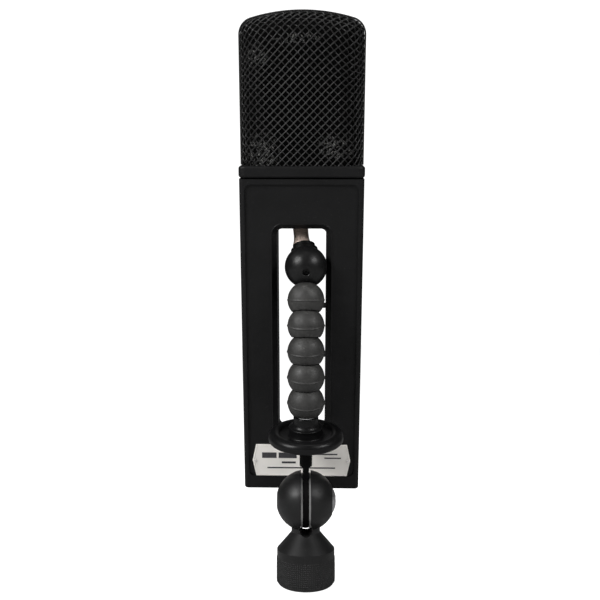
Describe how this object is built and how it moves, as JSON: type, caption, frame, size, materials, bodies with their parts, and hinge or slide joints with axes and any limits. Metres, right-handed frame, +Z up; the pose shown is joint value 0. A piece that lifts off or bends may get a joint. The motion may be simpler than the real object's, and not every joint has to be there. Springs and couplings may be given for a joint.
{
  "type": "studio microphone",
  "caption": "Flat-bodied studio microphone with a long slot through its body, a woven wire grille and a beaded flexible arm on a tilting threaded stand mount.",
  "frame": {"origin": "centre of the stand adapter's bottom face, at the mouth of its thread", "axes": "+Z up along the stand adapter's axis, -Y towards the front with the nameplate, +X to the right of a person facing the front"},
  "size_m": [0.0533, 0.0774, 0.2415],
  "materials": {
    "adapter_black": "satin black anodised",
    "insert_steel": "turned",
    "bright_steel": "polished",
    "stud_nickel": "polished nickel",
    "set_screw": "black oxide",
    "bead_rubber": "moulded, dry matt",
    "core_cable": "stranded",
    "body_black": "fine satin powder coat",
    "inner_metal": "milled",
    "gasket_rubber": "matt",
    "grille_black": "painted woven wire",
    "lining_mesh": "fine woven wire",
    "capsule_brass": "machined",
    "diaphragm_gold": "sputtered film",
    "saddle_plastic": "moulded",
    "lever_plastic": "moulded",
    "board_green": "solder mask",
    "board_parts": "sleeved cans and chips",
    "plate_silver": "satin silver",
    "connector_shell": "black",
    "connector_insert": "moulded",
    "connector_pins": "gold plated",
    "screw_black": "black oxide"
  },
  "bodies": {
    "base": {"swivel_base": "adapter_black", "thread_insert": "insert_steel", "pivot_screw": "bright_steel", "pivot_nut": "bright_steel", "friction_washer_left": "bright_steel", "friction_washer_right": "bright_steel"},
    "arm_foot": {"tilt_tongue": "adapter_black", "flange_disc": "adapter_black", "seat_washer": "bright_steel", "bead_5": "bead_rubber", "core_5": "core_cable"},
    "arm_link_4": {"bead_4": "bead_rubber", "core_4": "core_cable"},
    "arm_link_3": {"bead_3": "bead_rubber", "core_3": "core_cable"},
    "arm_link_2": {"bead_2": "bead_rubber", "core_2": "core_cable"},
    "arm_link_1": {"bead_1": "bead_rubber", "core_1": "core_cable"},
    "arm_ball": {"top_ball": "adapter_black", "grub_screw": "set_screw"},
    "microphone": {"ball_collar": "adapter_black", "coupling_stud": "stud_nickel", "body_frame": "body_black", "bottom_cap": "body_black", "face_plate_front": "body_black", "face_plate_rear": "body_black", "slot_liner": "body_black", "stud_anchor": "inner_metal", "joint_gasket": "gasket_rubber", "bulkhead": "inner_metal", "grille_collar": "body_black", "grille_basket": "grille_black", "inner_mesh": "lining_mesh", "grille_hoop": "grille_black", "capsule_ring": "capsule_brass", "capsule_backplate": "capsule_brass", "diaphragm_front": "diaphragm_gold", "diaphragm_rear": "diaphragm_gold", "capsule_saddle": "saddle_plastic", "capsule_isolator": "gasket_rubber", "pcb_left": "board_green", "pcb_right": "board_green", "pcb_left_parts": "board_parts", "pcb_right_parts": "board_parts", "pattern_switch": "saddle_plastic", "pad_switch": "saddle_plastic", "nameplate": "plate_silver", "nameplate_rivets": "plate_silver", "xlr_sleeve": "connector_shell", "xlr_insert": "connector_insert", "xlr_pins": "connector_pins", "rear_screws": "screw_black", "cap_screws": "screw_black"},
    "pattern_slider": {"pattern_lever": "lever_plastic"},
    "pad_slider": {"pad_lever": "lever_plastic"}
  },
  "joints": [
    {"name": "base_tilt", "type": "hinge", "parent": "base", "child": "arm_foot", "pos_m": [0, 0, 0.0361], "axis": [1, 0, 0], "range_deg": [-45, 75]},
    {"name": "arm_bend", "type": "hinge", "parent": "arm_foot", "child": "arm_link_4", "pos_m": [0, -0.01168, 0.0797], "axis": [1, 0, 0], "range_deg": [0, 6]},
    {"name": "arm_sway", "type": "hinge", "parent": "arm_link_4", "child": "arm_link_3", "pos_m": [0, -0.01351, 0.09041], "axis": [0, 1, 0], "range_deg": [-6, 6]},
    {"name": "arm_bend_upper", "type": "hinge", "parent": "arm_link_3", "child": "arm_link_2", "pos_m": [0, -0.01435, 0.10123], "axis": [1, 0, 0], "range_deg": [0, 6]},
    {"name": "arm_sway_upper", "type": "hinge", "parent": "arm_link_2", "child": "arm_link_1", "pos_m": [0, -0.01419, 0.11209], "axis": [0, 1, 0], "range_deg": [-6, 6]},
    {"name": "head_turn", "type": "hinge", "parent": "arm_link_1", "child": "arm_ball", "pos_m": [0, -0.01013, 0.13716], "axis": [0, 0.1985, 0.9801], "range_deg": [-25, 25]},
    {"name": "mic_tilt", "type": "hinge", "parent": "arm_ball", "child": "microphone", "pos_m": [0, -0.01013, 0.13716], "axis": [1, 0, 0], "range_deg": [0, 25]},
    {"name": "pattern_slide", "type": "slide", "parent": "microphone", "child": "pattern_slider", "axis": [0, -0.274, 0.9617], "range_m": [-0.002, 0.002]},
    {"name": "pad_slide", "type": "slide", "parent": "microphone", "child": "pad_slider", "axis": [0, -0.274, 0.9617], "range_m": [-0.002, 0.002]}
  ],
  "couplings": [
    {"joint": "arm_bend_upper", "follows": "arm_bend", "ratio": 1},
    {"joint": "arm_sway_upper", "follows": "arm_sway", "ratio": 1}
  ]
}
